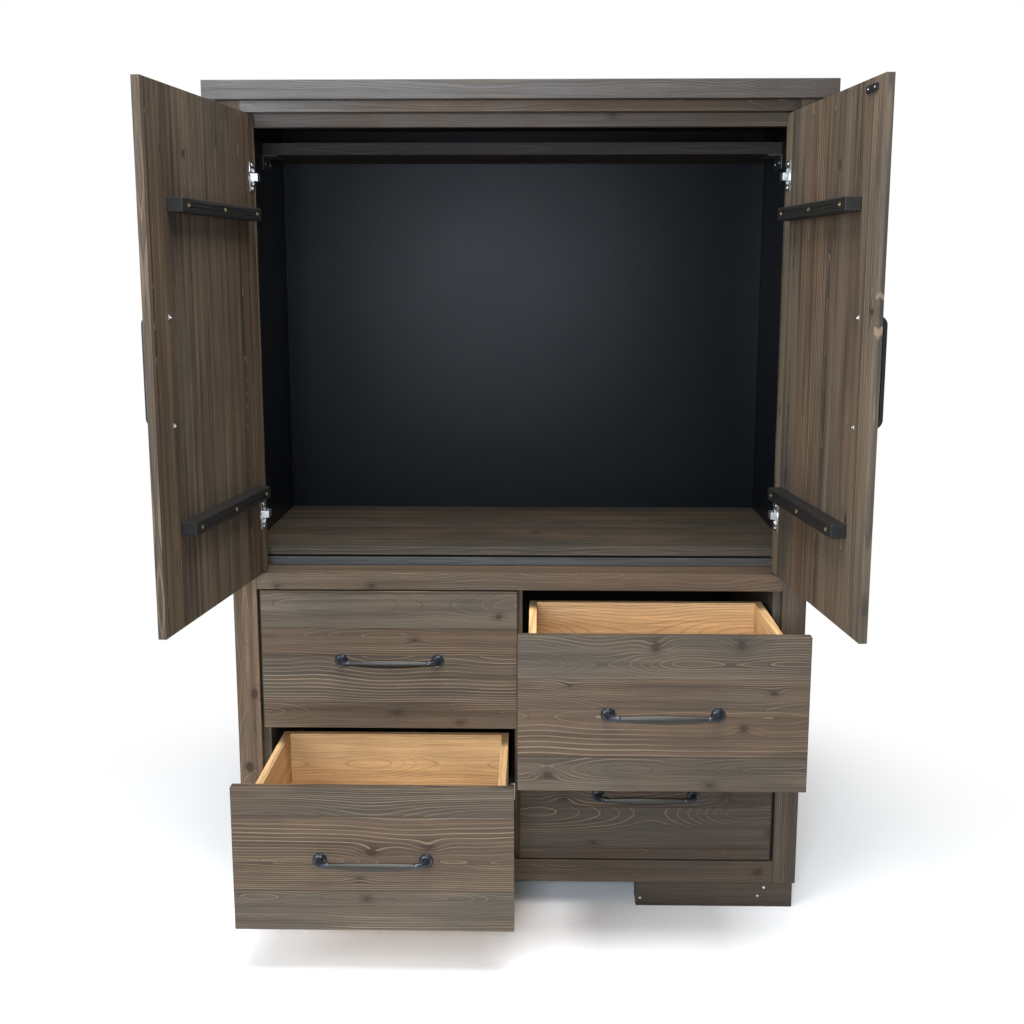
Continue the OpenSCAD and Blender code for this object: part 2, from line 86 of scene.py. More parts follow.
class Socket:
    """An output of a shader node that can be used in a Python expression."""

    def __init__(self, shader, output):
        self.shader = shader
        self.output = output

    def maths(self, operation, *values):
        inputs = dict(enumerate(values))
        return self.shader.node("ShaderNodeMath", {"operation": operation}, inputs)

    def other(self, name):
        """Another output of the same node."""
        return Socket(self.shader, self.output.node.outputs[name])

    def __add__(self, value):
        return self.maths("ADD", self, value)

    def __sub__(self, value):
        return self.maths("SUBTRACT", self, value)

    def __rsub__(self, value):
        return self.maths("SUBTRACT", value, self)

    def __mul__(self, value):
        return self.maths("MULTIPLY", self, value)

    def __truediv__(self, value):
        return self.maths("DIVIDE", self, value)

    def __gt__(self, value):
        return self.maths("GREATER_THAN", self, value)

    __radd__ = __add__
    __rmul__ = __mul__

    def floor(self):
        return self.maths("FLOOR", self)

    def fraction(self):
        return self.maths("FRACT", self)

    def sine(self):
        return self.maths("SINE", self)

    def root(self):
        return self.maths("SQRT", self)

    def exponent(self):
        return self.maths("EXPONENT", self)

    def size(self):
        """The value without its sign."""
        return self.maths("ABSOLUTE", self)

    def lower(self, value):
        return self.maths("MINIMUM", self, value)

    def ramp(self, start, end):
        """0 before start, 1 after end and a smooth rise between; falls if start is past end."""
        settings = {"interpolation_type": "SMOOTHSTEP"}
        inputs = {"Value": self, "From Min": start, "From Max": end}
        return self.shader.node("ShaderNodeMapRange", settings, inputs)


class Shader:
    """The nodes of a material or of the surround, written as expressions."""

    def __init__(self, owner):
        self.owner = owner
        owner.use_nodes = True
        self.tree = owner.node_tree
        self.tree.nodes.clear()

    def node(self, kind, settings=None, inputs=None):
        """Adds a node: its settings come first, then the values or links of its sockets."""
        made = self.tree.nodes.new(kind)
        for name, value in (settings or {}).items():
            setattr(made, name, value)
        for key, value in (inputs or {}).items():
            self.feed(made.inputs[key], value)
        shown = [output for output in made.outputs if output.enabled]
        return Socket(self, shown[0]) if shown else None

    def feed(self, socket, value):
        """Links a socket to an expression or sets it to a value."""
        if isinstance(value, Socket):
            self.tree.links.new(value.output, socket)
        elif socket.type == "RGBA" and len(value) == 3:
            socket.default_value = (*value, 1.0)
        else:
            socket.default_value = value

    def place(self):
        """The point of the surface in the frame, at rest, in metres."""
        return self.node("ShaderNodeTexCoord").other("Object")

    def split(self, vector):
        parts = self.node("ShaderNodeSeparateXYZ", None, {0: vector})
        return parts, parts.other("Y"), parts.other("Z")

    def join(self, x, y, z):
        return self.node("ShaderNodeCombineXYZ", None, {0: x, 1: y, 2: z})

    def scaled(self, vector, factor):
        inputs = {0: vector, "Scale": factor}
        return self.node("ShaderNodeVectorMath", {"operation": "SCALE"}, inputs)

    def noise(self, vector, detail=2.0, roughness=0.5):
        inputs = {"Vector": vector, "Scale": 1.0, "Detail": detail, "Roughness": roughness}
        return self.node("ShaderNodeTexNoise", {"normalize": True}, inputs)

    def chance(self, x, y, z=0.0):
        """Three random numbers from 0 to 1 that stay the same while x, y and z do."""
        numbers = self.node("ShaderNodeTexWhiteNoise", None, {"Vector": self.join(x, y, z)})
        return self.split(numbers.other("Color"))

    def mix(self, share, colour, other, blend="MIX"):
        settings = {"data_type": "RGBA", "blend_type": blend, "clamp_factor": True}
        inputs = {"Factor": share, MIX_FIRST_COLOUR: colour, MIX_SECOND_COLOUR: other}
        return self.node("ShaderNodeMix", settings, inputs)

    def shade(self, colour, amount):
        """colour made lighter or darker by amount, which is 1 where it stays the same."""
        return self.mix(1.0, colour, self.join(amount, amount, amount), "MULTIPLY")

    def finish(self, colour, roughness, height, depth, **uniform):
        """Ends the material. uniform holds values that are the same all over the surface."""
        relief = {"Strength": 1.0, "Distance": depth, "Height": height}
        normal = self.node("ShaderNodeBump", None, relief)
        inputs = {"Base Color": colour, "Roughness": roughness, "Normal": normal}
        for name, value in uniform.items():
            inputs[name.replace("_", " ").title().replace("Ior", "IOR")] = value
        surface = self.node("ShaderNodeBsdfPrincipled", None, inputs)
        self.node("ShaderNodeOutputMaterial", None, {"Surface": surface})
        return self.owner


# ---- settings ----


def colour_property(name, description, default):
    return bpy.props.FloatVectorProperty(
        name=name, description=description, default=default, subtype="COLOR", min=0.0, max=1.0
    )


def length_property(name, description, millimetres):
    return bpy.props.FloatProperty(
        name=name, description=description, default=millimetres * MILLIMETRE, unit="LENGTH"
    )


class ArmoireWood(bpy.types.PropertyGroup):
    """Colours and sizes of the stained and the clear softwood."""

    grey: colour_property("Grey stain", "Cooler end of the stain", (0.067, 0.057, 0.043))
    brown: colour_property("Brown stain", "Warmer end of the stain", (0.076, 0.048, 0.029))
    latewood: colour_property("Latewood", "Thin pale lines of the grain", (0.205, 0.144, 0.092))
    door_line: colour_property("Door latewood", "Pale lines of the doors", (0.27, 0.195, 0.125))
    knot: colour_property("Knot", "Heart of a knot", (0.024, 0.011, 0.006))
    charcoal: colour_property("Charcoal", "Stain of the door battens", (0.012, 0.0115, 0.011))
    lining: colour_property("Lining", "Paint inside the compartment", (0.0022, 0.0028, 0.0044))
    shelf: colour_property("Shelf", "Olive-brown stain of the shelf", (0.040, 0.035, 0.025))
    pale: colour_property("Pale stain", "Stain of the cap and its rails", (0.165, 0.160, 0.160))
    pine: colour_property("Pine", "Clear-sealed pine of the drawer boxes", (0.60, 0.375, 0.180))
    pine_line: colour_property("Pine line", "Latewood of the pine", (0.52, 0.27, 0.11))
    pine_knot: colour_property("Pine knot", "Knots of the pine", (0.26, 0.09, 0.03))
    carcass_board: length_property("Carcass board", "Mean width of a carcass board", 115)
    front_board: length_property("Front board", "Mean width of a drawer-front board", 76)
    door_board: length_property("Door board", "Mean width of a door board", 118)
    pine_board: length_property("Pine board", "Mean width of a board of the drawer boxes", 240)
    ring: length_property("Ring", "Distance between two growth rings", 4.2)
    line_width: length_property("Line width", "Half the width of a latewood line", 1.1)
    round_over: length_property("Round-over", "Width of the eased edges", 1.3)


class ArmoireMetal(bpy.types.PropertyGroup):
    """Colours and sizes of the fittings."""

    black: colour_property("Black steel", "Door pulls", (0.018, 0.020, 0.025))
    blackened: colour_property("Blackened steel", "Feet of the drawer pulls", (0.034, 0.038, 0.046))
    pewter: colour_property("Pewter", "Bars of the drawer pulls", (0.052, 0.049, 0.044))
    zinc: colour_property("Zinc", "Hinges, plates and slides", (0.62, 0.63, 0.64))
    # Painted shade: the zinc angle plates are made dark to stand in for the shade at the top of the
    # compartment
    painted_shade_zinc: colour_property("Dulled zinc", "Angle plates of the high board", (0.08, 0.08, 0.085))
    brass: colour_property("Brass", "Screws of the battens", (0.46, 0.36, 0.20))
    disc_height: length_property("Disc height", "Height of the foot disc of a drawer pull", 3.6)
    bar_end: length_property("Bar end", "Half the height of a bar where it starts", 4.6)
    bar_middle: length_property("Bar middle", "Half the height of a bar at its middle", 8.0)
    bar_depth: length_property("Bar depth", "Half the depth of a bar", 4.2)
    screw_radius: length_property("Screw radius", "Radius of a screw head", 4.2)


class ArmoireStage(bpy.types.PropertyGroup):
    """Floor, light and camera."""

    camera_place: bpy.props.FloatVectorProperty(
        name="Camera place", description="Where the camera stands", subtype="TRANSLATION",
        unit="LENGTH", default=(0.0394, -3.1856, 1.3301))
    heading: bpy.props.FloatProperty(
        name="Heading", description="Turn of the camera to its left", unit="ROTATION",
        default=math.radians(1.166))
    pitch: bpy.props.FloatProperty(
        name="Pitch", description="Tilt of the camera below the horizon", unit="ROTATION",
        default=math.radians(10.333))
    lens: bpy.props.FloatProperty(
        name="Lens", description="Focal length in millimetres", default=45.911, min=10.0)
    surround: bpy.props.FloatProperty(
        name="Surround", description="Strength of the light from all round", default=0.2)
    key: bpy.props.FloatProperty(
        name="Key", description="Power of the light at the left", unit="POWER", default=105.0)
    top: bpy.props.FloatProperty(
        name="Top", description="Power of the light overhead", unit="POWER", default=190.0)
    fill: bpy.props.FloatProperty(
        name="Fill", description="Power of the light behind the camera", unit="POWER", default=68.0)


# ---- materials ----

# Boards glued side by side: how their widths vary, the dark seam between two of them, and
# the width that the pattern of a single board is made for
ROW_SHIFT = 3.7
ROW_UNEVEN = 0.17
ROW_WAVES = 2.33
SEAM_EDGE = 1.1 * MILLIMETRE
SEAM_HEART = 0.3 * MILLIMETRE
LONE_BOARD = 50 * MILLIMETRE

# Growth rings: where their heart lies under the face and how it strays along a board, then
# where in a ring its pale line lies and the largest share of the ring that the line takes
HEART_DEPTH = 8 * MILLIMETRE
HEART_DEEPER = 16 * MILLIMETRE
HEART_WANDER = 6 * MILLIMETRE
HEART_DRIFT = 75 * MILLIMETRE
HEART_SLOPE = 0.05
RING_RAGGED = 0.5 * MILLIMETRE
RING_CLOSE = 0.7
WIDEST_LINE = 0.28

# Knots: at most one in each stretch of a board, and how far the rings bend round it
KNOT_STRETCH = 170 * MILLIMETRE
KNOT_RADIUS = 3.5 * MILLIMETRE
KNOT_LARGER = 6.5 * MILLIMETRE
KNOT_RAGGED = 4 * MILLIMETRE
KNOT_BEND = 9 * MILLIMETRE

# Patterns: cycles in a metre along the grain and across it, or the same number all ways
WANDER = (3.1, 11.0)
DRIFT = (2.9, 1.2)
RAGGED = (160.0, 160.0)
PATCH = (3.0, 16.0)
FIBRE = (14.0, 900.0)
STREAK = (1.6, 70.0)
STAIN = (5.0, 8.0)
GRIT = 220.0
CLOUD = 3.0
SCRATCH = 260.0
PLATING = 45.0

# Depth of the relief that each finish gives to light
WOOD_RELIEF = 0.4 * MILLIMETRE
PAINT_RELIEF = 0.3 * MILLIMETRE
METAL_RELIEF = 0.12 * MILLIMETRE


def pattern(s, waves, along, across, third, detail, roughness=0.5):
    """Uneven shade from 0 to 1 that is stretched along the grain as waves says."""
    return s.noise(s.join(along * waves[0], across * waves[1], third), detail, roughness)


def glued_boards(s, across, seed, board):
    """Number of the board at a point, distance from its middle line, and its seam."""
    row = across / board + seed * ROW_SHIFT
    row = row + ROW_UNEVEN * (row * ROW_WAVES).sine()
    off = row.fraction() - 0.5
    seam = off.size().ramp(0.5 - SEAM_EDGE / board, 0.5 - SEAM_HEART / board)
    return row.floor(), off * board, seam


def knot_marks(s, along, middle, width, index, seed, tone, ragged, knots):
    """Core of the knots, the dark halo round them and the swirl that bends the rings."""
    cell = along / KNOT_STRETCH + tone * 3.0
    knot_end, knot_side, knot_here = s.chance(cell.floor(), index, seed + 7.0)
    from_end = (cell.fraction() - 0.5 - (knot_end - 0.5) * 0.5) * KNOT_STRETCH
    from_side = middle - (knot_side - 0.5) * width * 0.6
    near = from_end * from_end * 0.7 + from_side * from_side * 1.3
    here = knot_here > 1.0 - knots
    radius = KNOT_RADIUS + KNOT_LARGER * knot_end
    core = (near.root() + ragged * KNOT_RAGGED).ramp(radius * 1.05, radius * 0.7) * here
    spread = from_end * from_end * 0.35 + from_side * from_side * 2.2
    swirl = (spread * -3200.0).exponent() * here
    halo = (near * -7000.0).exponent() * here
    return core, halo, swirl


def growth_lines(s, side, depth, radius, wander, hue, index, seed):
    """Pale latewood that closes each ring, and the dark start of the next one."""
    wood = bpy.context.scene.armoire_wood
    pitch = wood.ring * (0.7 + 0.7 * hue)
    phase = radius / pitch + wander * 0.6
    turn = phase.fraction()
    bold = s.chance(phase.floor(), index, seed)[0]
    # lines keep their width where the rings spread out
    change = (side * side + depth * depth * 0.03).root() / radius / pitch
    breadth = (change * wood.line_width).lower(WIDEST_LINE)
    late = ((turn - RING_CLOSE).size() / breadth).ramp(1.0, 0.3) * (0.35 + 0.65 * bold)
    early = ((turn - RING_CLOSE) / breadth).ramp(2.5, 1.0) * (turn > RING_CLOSE)
    return late, early


def stained_wood(name, grain, seed, box, board=0.0, spin=None, cool=None, warm=None,
                 line=None, knot=None, warmth=0.5, light=1.0, lines=0.8, knots=0.22,
                 contrast=1.9, fade=0.0, lined_to=0.0, shine=0.0):
    """Softwood with growth rings, knots and fibres.

    grain names the frame's axes along the grain, across the face and through it. box is the
    lowest and the highest corner of the wood. board is the mean width of the boards glued side
    by side, or 0 for a single board. spin is the point and the angle that turn a door shut, and
    box is then that of the shut door. contrast is how much the streaks differ. fade paints
    shade: it is how much darker and browner the wood grows towards the far end, where less of
    the light from the left falls. Faces within lined_to of the middle are painted.
    """
    wood = bpy.context.scene.armoire_wood
    s = Shader(bpy.data.materials.new(name))
    place = s.place()
    if spin:
        pin, angle = spin
        shut = {"Vector": place, "Center": pin, "Angle": angle}
        place = s.node("ShaderNodeVectorRotate", {"rotation_type": "Z_AXIS"}, shut)
    axes = dict(zip("xyz", s.split(place)))
    along, across, through = (axes[axis] for axis in grain)
    low, high = (Vector([corner["xyz".index(axis)] for axis in grain]) for corner in box)
    centre = (low + high) / 2
    # distance below the nearer of the two faces
    under = (high.z - low.z) / 2 - (through - centre.z).size()

    if board:
        index, middle, seam = glued_boards(s, across, seed, board)
        width = board
    else:
        index, middle, seam = seed, across - centre.y, None
        width = LONE_BOARD
    heart_side, heart_depth, heart_end = s.chance(index, seed)
    steepness, tone, hue = s.chance(index, seed, 1.0)

    # growth rings round a heart that runs at a slant under the face, bent by the knots
    wander = pattern(s, WANDER, along, across, index * 5.3 + seed, 2.0) - 0.5
    drift = pattern(s, DRIFT, along, across, index * 9.1 + seed + 40.0, 1.0) - 0.5
    ragged = pattern(s, RAGGED, along, across, seed, 2.0) - 0.5
    side = middle - (heart_side - 0.5) * width * 1.3 + wander * HEART_WANDER
    depth = HEART_DEPTH + heart_depth * HEART_DEEPER + under + drift * HEART_DRIFT
    depth = depth + (along + (heart_end - 0.5) * 0.6) * (steepness - 0.5) * HEART_SLOPE
    core, halo, swirl = knot_marks(s, along, middle, width, index, seed, tone, ragged, knots)
    radius = (side * side + depth * depth).root() + swirl * KNOT_BEND + ragged * RING_RAGGED
    late, early = growth_lines(s, side, depth, radius, wander, hue, index, seed)
    patch = pattern(s, PATCH, along, across, seed + index, 2.0).ramp(0.36, 0.6)
    late = late * (0.25 + 0.75 * patch)

    # fibres, streaks and uneven stain
    fibre = pattern(s, FIBRE, along, across, through * FIBRE[1], 3.0, 0.7)
    streak = pattern(s, STREAK, along, across, through * STREAK[1] + index, 3.0, 0.6)
    stain = pattern(s, STAIN, along, across, through * STAIN[1] + index, 3.0)
    share = warmth + (hue - 0.5) * 0.9 + (stain - 0.5) * 1.2
    amount = light * (0.86 + 0.28 * tone) * (1.0 + contrast * (streak - 0.5)) * (0.3 + 1.4 * fibre)
    amount = amount * (1.0 - 0.25 * early) * (1.0 - 0.5 * halo) * (0.75 + 0.5 * stain)
    # painted shade: darker and browner towards the far (right-hand) end, where the light from the
    # left falls off
    if fade:
        far = (along - low.x) / (high.x - low.x)
        share = share + far * fade * 2.0
        amount = amount * (1.0 - far * fade)
    colour = s.mix(share, cool or wood.grey, warm or wood.brown)
    colour = s.shade(colour, amount)
    colour = s.mix(late * lines, colour, s.shade(line or wood.latewood, light * (0.5 + fibre)))
    colour = s.mix(core * 0.92, colour, s.shade(knot or wood.knot, 0.5 + 1.6 * fibre))
    height = fibre * 0.5 + late * 0.5 - core * 0.4
    rough = 0.66 - shine - late * 0.1 + (fibre - 0.5) * 0.2
    if seam:
        colour = s.shade(colour, 1.0 - seam * 0.45)
        height = height - seam
    if lined_to:
        inside = 1.0 - (axes["x"].size() > lined_to)
        paint, paint_rough, _ = lining_paint(s)
        colour = s.mix(inside, colour, paint)
        rough = rough * (1.0 - inside) + paint_rough * inside
    return s.finish(colour, rough, height, WOOD_RELIEF, specular_ior_level=0.3)


def lining_paint(s):
    """Colour, roughness and height of the near-black paint inside the compartment."""
    place = s.place()
    grit = s.noise(s.scaled(place, GRIT), 4.0, 0.65)
    cloud = s.noise(s.scaled(place, CLOUD), 3.0)
    paint = bpy.context.scene.armoire_wood.lining
    colour = s.shade(paint, 0.5 + 0.5 * grit + 0.5 * cloud)
    return colour, 0.23 + 0.12 * grit + 0.06 * cloud, grit


def painted_lining():
    s = Shader(bpy.data.materials.new("lining_paint"))
    colour, rough, grit = lining_paint(s)
    return s.finish(colour, rough, grit, PAINT_RELIEF, specular_ior_level=0.075)


def metal(name, colour, rough, metallic=1.0, mottle=0.3, brushed=False):
    """Plated or blackened metal with fine scratches and uneven plating."""
    s = Shader(bpy.data.materials.new(name))
    place = s.place()
    x, y, z = s.split(place)
    long_way = SCRATCH * 0.05 if brushed else SCRATCH
    fine = s.noise(s.join(x * long_way, y * SCRATCH, z * SCRATCH), 4.0, 0.7)
    broad = s.noise(s.scaled(place, PLATING), 3.0)
    tone = s.shade(colour, 1.0 - mottle + mottle * (fine + broad))
    uneven = rough + 0.22 * (fine - 0.5) + 0.2 * (broad - 0.5)
    return s.finish(tone, uneven, fine, METAL_RELIEF, metallic=metallic)


# ---- meshes ----

SCREW_STEPS = 24
SAME_POINT = 1e-6
WELD_REACH = 1e-5
SHARP_ANGLE = math.radians(38)
EASED_ANGLE = math.radians(40)


def circle(mesh, matrix, radius, height, steps):
    """Points in a ring round the local Z of matrix."""
    angles = [math.tau * step / steps for step in range(steps)]
    return [
        mesh.verts.new(matrix @ Vector((radius * math.cos(a), radius * math.sin(a), height)))
        for a in angles
    ]


def lathe(mesh, profile, matrix, steps):
    """Turns (radius, height) points about the local Z of matrix."""
    rings = []
    for radius, height in profile:
        if radius == 0:
            rings.append([mesh.verts.new(matrix @ Vector((0, 0, height)))])
        else:
            rings.append(circle(mesh, matrix, radius, height, steps))
    for lower, upper in zip(rings, rings[1:]):
        bridge(mesh, lower, upper)


def bridge(mesh, lower, upper):
    """Faces between two rings, either of which may be one point."""
    steps = max(len(lower), len(upper))
    for step in range(steps):
        after = (step + 1) % steps
        corners = [lower[step % len(lower)], lower[after % len(lower)],
                   upper[after % len(upper)], upper[step % len(upper)]]
        mesh.faces.new(list(dict.fromkeys(corners)))


def sweep(mesh, path, sizes, steps):
    """Tube along path in the XY plane; sizes holds half its width and half its height."""
    rings = []
    for at, point in enumerate(path):
        ahead = path[min(at + 1, len(path) - 1)] - path[max(at - 1, 0)]
        side = ahead.cross(Vector((0, 0, 1))).normalized()
        half_width, half_height = sizes[at]
        ring = []
        for step in range(steps):
            angle = math.tau * step / steps
            offset = side * half_width * math.cos(angle)
            offset.z += half_height * math.sin(angle)
            ring.append(mesh.verts.new(point + offset))
        rings.append(ring)
    for lower, upper in zip(rings, rings[1:]):
        bridge(mesh, lower, upper)
    mesh.faces.new(rings[0])
    mesh.faces.new(rings[-1])


def screw(mesh, place, facing, radius, tall=1.3 * MILLIMETRE):
    """Domed head with a cross-shaped recess, standing at place and facing along facing."""
    turn = facing.to_track_quat("Z", "Y").to_matrix().to_4x4()
    turn.translation = place
    arm = radius * 0.52
    slot = radius * 0.13
    flat = radius * 0.86
    shoulder = tall * 0.78
    rim = [(radius, 0.0), (radius, tall * 0.35), (flat, shoulder)]
    lathe(mesh, rim, turn, SCREW_STEPS)
    # the top is a flat disc with the outline of the cross cut down into it
    outline = []
    for quarter in range(4):
        spin = Euler((0, 0, quarter * math.pi / 2)).to_matrix()
        for x, y in ((slot, slot), (slot, arm), (-slot, arm)):
            outline.append(spin @ Vector((x, y, 0)))
    top = [mesh.verts.new(turn @ (point + Vector((0, 0, tall)))) for point in outline]
    floor = [mesh.verts.new(turn @ (point * 0.8 + Vector((0, 0, tall * 0.3)))) for point in outline]
    edge = circle(mesh, turn, flat, shoulder, SCREW_STEPS)
    bridge(mesh, top, floor)
    mesh.faces.new(floor)
    edges = [mesh.edges.get(pair) or mesh.edges.new(pair)
             for loop in (top, edge) for pair in zip(loop, loop[1:] + loop[:1])]
    bmesh.ops.triangle_fill(mesh, use_beauty=True, edges=edges)
    mesh.faces.new(circle(mesh, turn, radius, 0.0, SCREW_STEPS))


def make_piece(name, body, material, build, stands_for=()):
    """A new piece whose mesh build(mesh) draws in the frame's own place."""
    mesh = bmesh.new()
    build(mesh)
    bmesh.ops.remove_doubles(mesh, verts=mesh.verts, dist=SAME_POINT)
    bmesh.ops.recalc_face_normals(mesh, faces=mesh.faces)
    data = bpy.data.meshes.new(name)
    mesh.to_mesh(data)
    mesh.free()
    for face in data.polygons:
        face.use_smooth = True
    data.set_sharp_from_angle(angle=SHARP_ANGLE)
    data.materials.append(material)
    piece = bpy.data.objects.new(name, data)
    bpy.context.scene.collection.objects.link(piece)
    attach(piece, body)
    if stands_for:
        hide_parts(*stands_for)


def dress(node, material, round_over):
    """Gives a CAD node its material and eased edges."""
    part = NODES[node]
    for place in part.material_slots:
        place.material = material
    weld = part.modifiers.new("Weld", "WELD")
    weld.merge_threshold = WELD_REACH
    ease = part.modifiers.new("Ease", "BEVEL")
    ease.width = round_over
    ease.segments = 2
    ease.limit_method = "ANGLE"
    ease.angle_limit = EASED_ANGLE
    ease.harden_normals = True


def size_of(node):
    """Lowest corner, highest corner and middle of a CAD node."""
    low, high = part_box(node)
    return low, high, (low + high) / 2


def door_spin(side):
    """The hinge pin of a door and the turn that shuts it."""
    joint = JOINTS[side + "_door_hinge"]
    shut = math.radians(joint["range_deg"][0]) * joint["axis"][2]
    return Vector(joint["pos_m"]), shut


def door_box(node, side):
    """Lowest and highest corner of a door's node while the door is shut."""
    pin, shut = door_spin(side)
    turn = Euler((0, 0, shut)).to_matrix()
    points = [turn @ (vertex.co - pin) + pin for vertex in NODES[node].data.vertices]
    low = Vector([min(point[axis] for point in points) for axis in range(3)])
    high = Vector([max(point[axis] for point in points) for axis in range(3)])
    return low, high


def swing_open(point, side):
    """Where a point of the shut door is while the door stands open."""
    pin, shut = door_spin(side)
    return Euler((0, 0, -shut)).to_matrix() @ (point - pin) + pin


# ---- steps ----

# The floor's half width, how far it lies below the feet, the Y of the middle of its shadows,
# and how far from there they begin to fade and are gone
FLOOR_REACH = 14.0
FLOOR_DROP = 0.4 * MILLIMETRE
FLOOR_MIDDLE = -0.4
SHADOW_REACH = 0.72
WHITE_FROM = 1.45

# A drawer pull's bar: share of the pull's reach where it starts, share of the distance between
# the feet that it takes, and points along it and round it; then the points round a foot disc
BAR_START = 0.735
BAR_SPAN = 0.82
BAR_STEPS = 24
DISC_STEPS = 40

# Nails of a front foot, in millimetres from its left end and from the floor
FOOT_NAILS = ((9, 17), (259, 24), (272, 43))

Lamp = namedtuple("Lamp", "name power size place aim colour")
Stain = namedtuple("Stain", "grain seed board warmth light lines knots fade")


class ArmoireStep(bpy.types.Operator):
    """A step that gives the armoire its looks."""

    bl_options = {"REGISTER", "UNDO"}


class ARMOIRE_OT_stage(ArmoireStep):
    """Adds the floor, the soft lights and the camera"""

    bl_idname = "armoire.stage"
    bl_label = "Stage"

    def execute(self, context):
        stage = context.scene.armoire_stage
        context.scene.view_settings.view_transform = "Standard"
        self.add_floor()
        self.add_surround(context, stage)
        low, high = CAD_BOX
        front = Vector((0, low.y, high.z / 2))
        floor = Vector((0.1, -0.9, 0))
        lamps = (
            Lamp("key", stage.key, 2.2, Vector((-2.5, -3.2, 2.1)), front, (0.92, 0.96, 1.0)),
            Lamp("top", stage.top, 2.2, Vector((0.1, -1.6, 3.5)), floor, (1.0, 1.0, 1.0)),
            Lamp("fill", stage.fill, 0.7, Vector((-0.2, -3.6, 1.35)), front, (0.78, 0.89, 1.0)),
        )
        for lamp in lamps:
            self.add_light(lamp)
        lens = bpy.data.cameras.new("camera")
        lens.lens = stage.lens
        camera = bpy.data.objects.new("camera", lens)
        camera.location = stage.camera_place
        camera.rotation_euler = (math.pi / 2 - stage.pitch, 0, stage.heading)
        context.scene.collection.objects.link(camera)
        context.scene.camera = camera
        return {"FINISHED"}

    def add_floor(self):
        data = bpy.data.meshes.new("floor")
        corners = [(x * FLOOR_REACH, y * FLOOR_REACH, -FLOOR_DROP)
                   for x, y in ((-1, -1), (1, -1), (1, 1), (-1, 1))]
        data.from_pydata(corners, [], [(0, 1, 2, 3)])
        data.materials.append(self.floor_material())
        floor = bpy.data.objects.new("floor", data)
        bpy.context.scene.collection.objects.link(floor)

    def floor_material(self):
        """White floor that takes shadows near the armoire and glows white far from it."""
        s = Shader(bpy.data.materials.new("floor_white"))
        x, y, _ = s.split(s.place())
        behind = y - FLOOR_MIDDLE
        away = (x * x + behind * behind).root().ramp(SHADOW_REACH, WHITE_FROM)
        near = s.node("ShaderNodeBsdfDiffuse", None, {"Color": (0.98, 0.98, 0.98)})
        far = s.node("ShaderNodeEmission", None, {"Color": (1, 1, 1), "Strength": 1.0})
        surface = s.node("ShaderNodeMixShader", None, {0: away, 1: near, 2: far})
        s.node("ShaderNodeOutputMaterial", None, {"Surface": surface})
        return s.owner

    def add_surround(self, context, stage):
        world = bpy.data.worlds.new("surround")
        context.scene.world = world
        s = Shader(world)
        seen = s.node("ShaderNodeLightPath").other("Is Camera Ray")
        strength = seen * (1.0 - stage.surround) + stage.surround
        light = s.node("ShaderNodeBackground", None, {"Color": (1, 1, 1), "Strength": strength})
        s.node("ShaderNodeOutputWorld", None, {"Surface": light})

    def add_light(self, lamp):
        data = bpy.data.lights.new(lamp.name, "AREA")
        data.energy = lamp.power
        data.size = lamp.size
        data.color = lamp.colour
        light = bpy.data.objects.new(lamp.name, data)
        light.location = lamp.place
        light.rotation_euler = (lamp.aim - lamp.place).to_track_quat("-Z", "Y").to_euler()
        bpy.context.scene.collection.objects.link(light)


